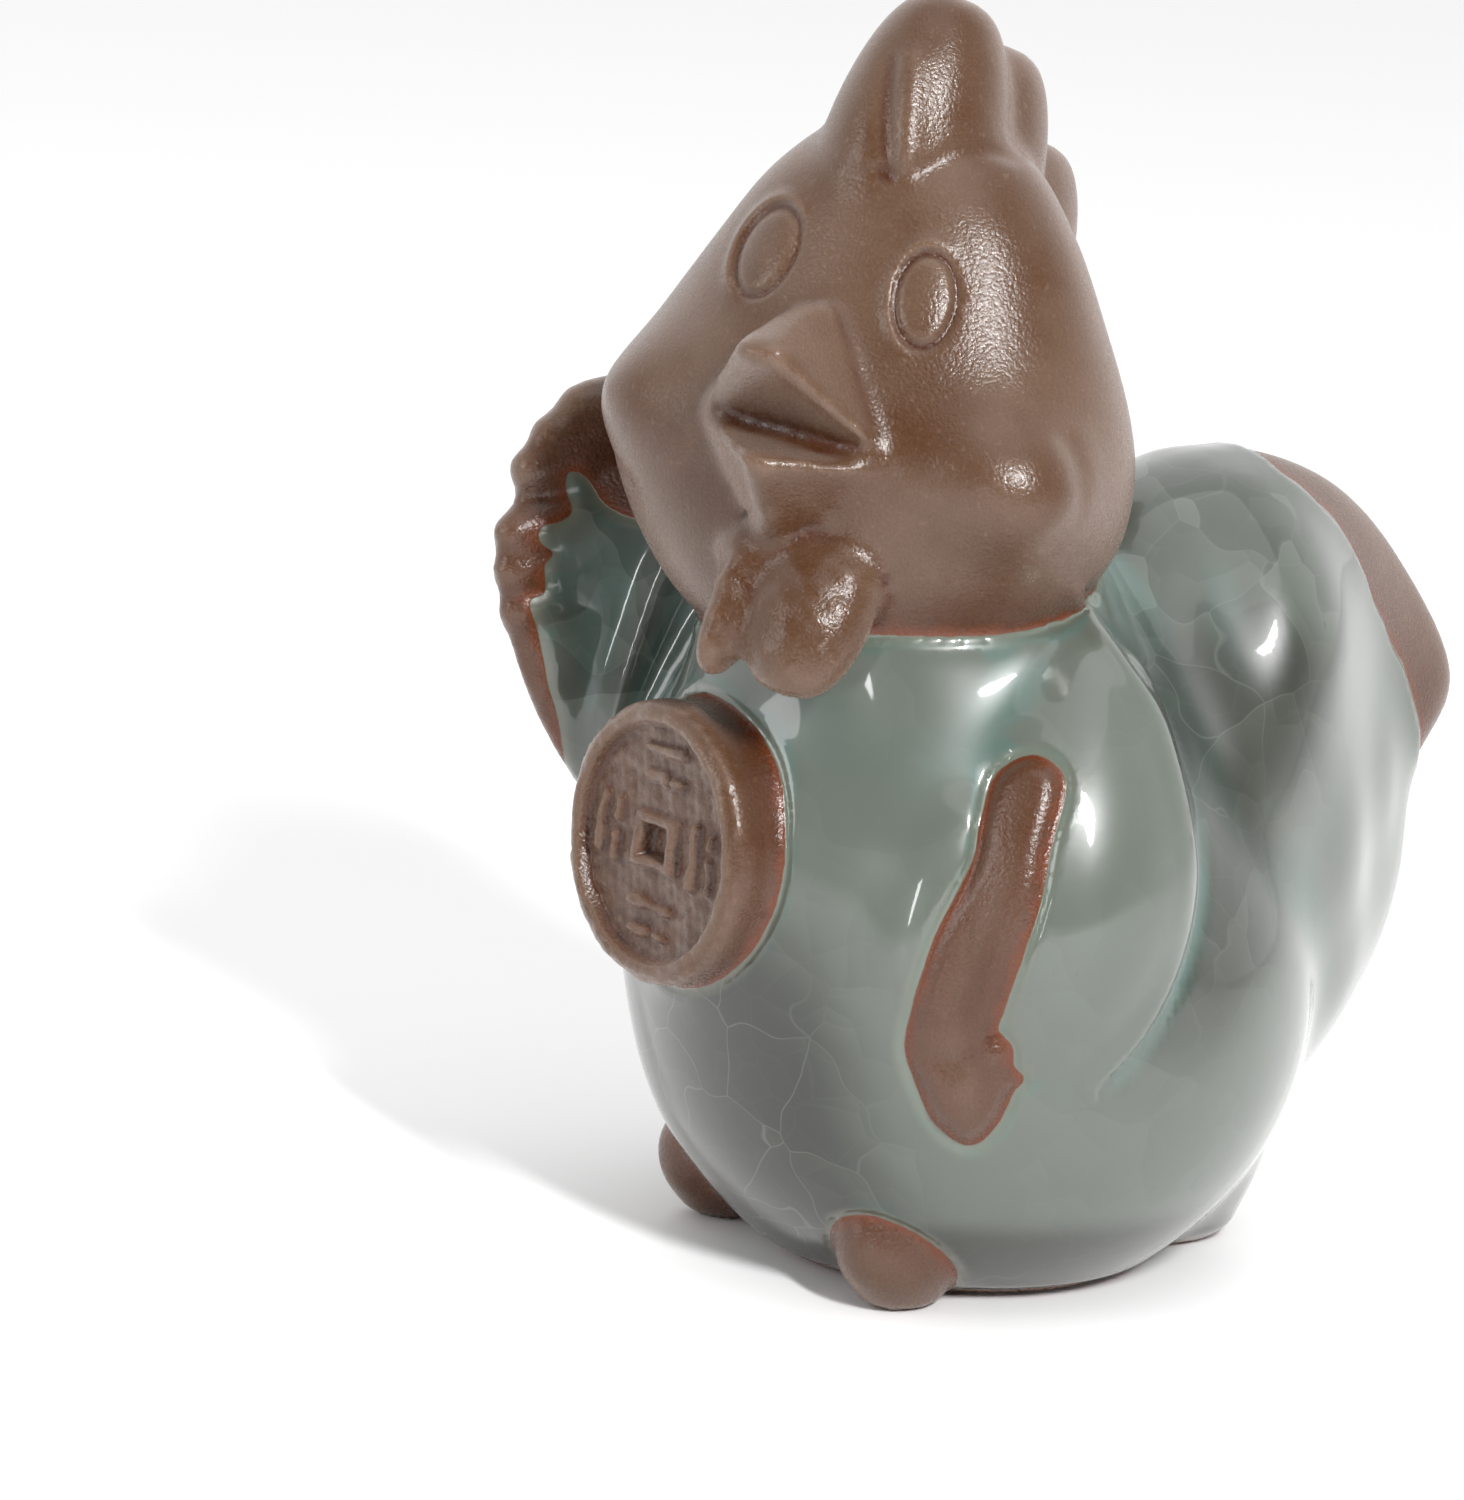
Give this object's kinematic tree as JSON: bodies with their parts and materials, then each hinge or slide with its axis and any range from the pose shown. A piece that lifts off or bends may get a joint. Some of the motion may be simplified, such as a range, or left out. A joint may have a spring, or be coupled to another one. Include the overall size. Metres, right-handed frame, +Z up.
{
  "type": "ceramic tea pet",
  "caption": "Palm-sized cast rooster figure with a coin on its belly and one wing raised to its cheek, glazed over bare clay, standing on a flat underside.",
  "frame": {"origin": "on the flat underside, under the middle of the round body", "axes": "+Z up, -Y the way the belly and coin face, +X the figure's left"},
  "size_m": [0.0507, 0.0708, 0.0883],
  "materials": {
    "rooster": "glossy crackled celadon over matt brown stoneware"
  },
  "bodies": {
    "root": {"rooster": "rooster"}
  },
  "joints": []
}
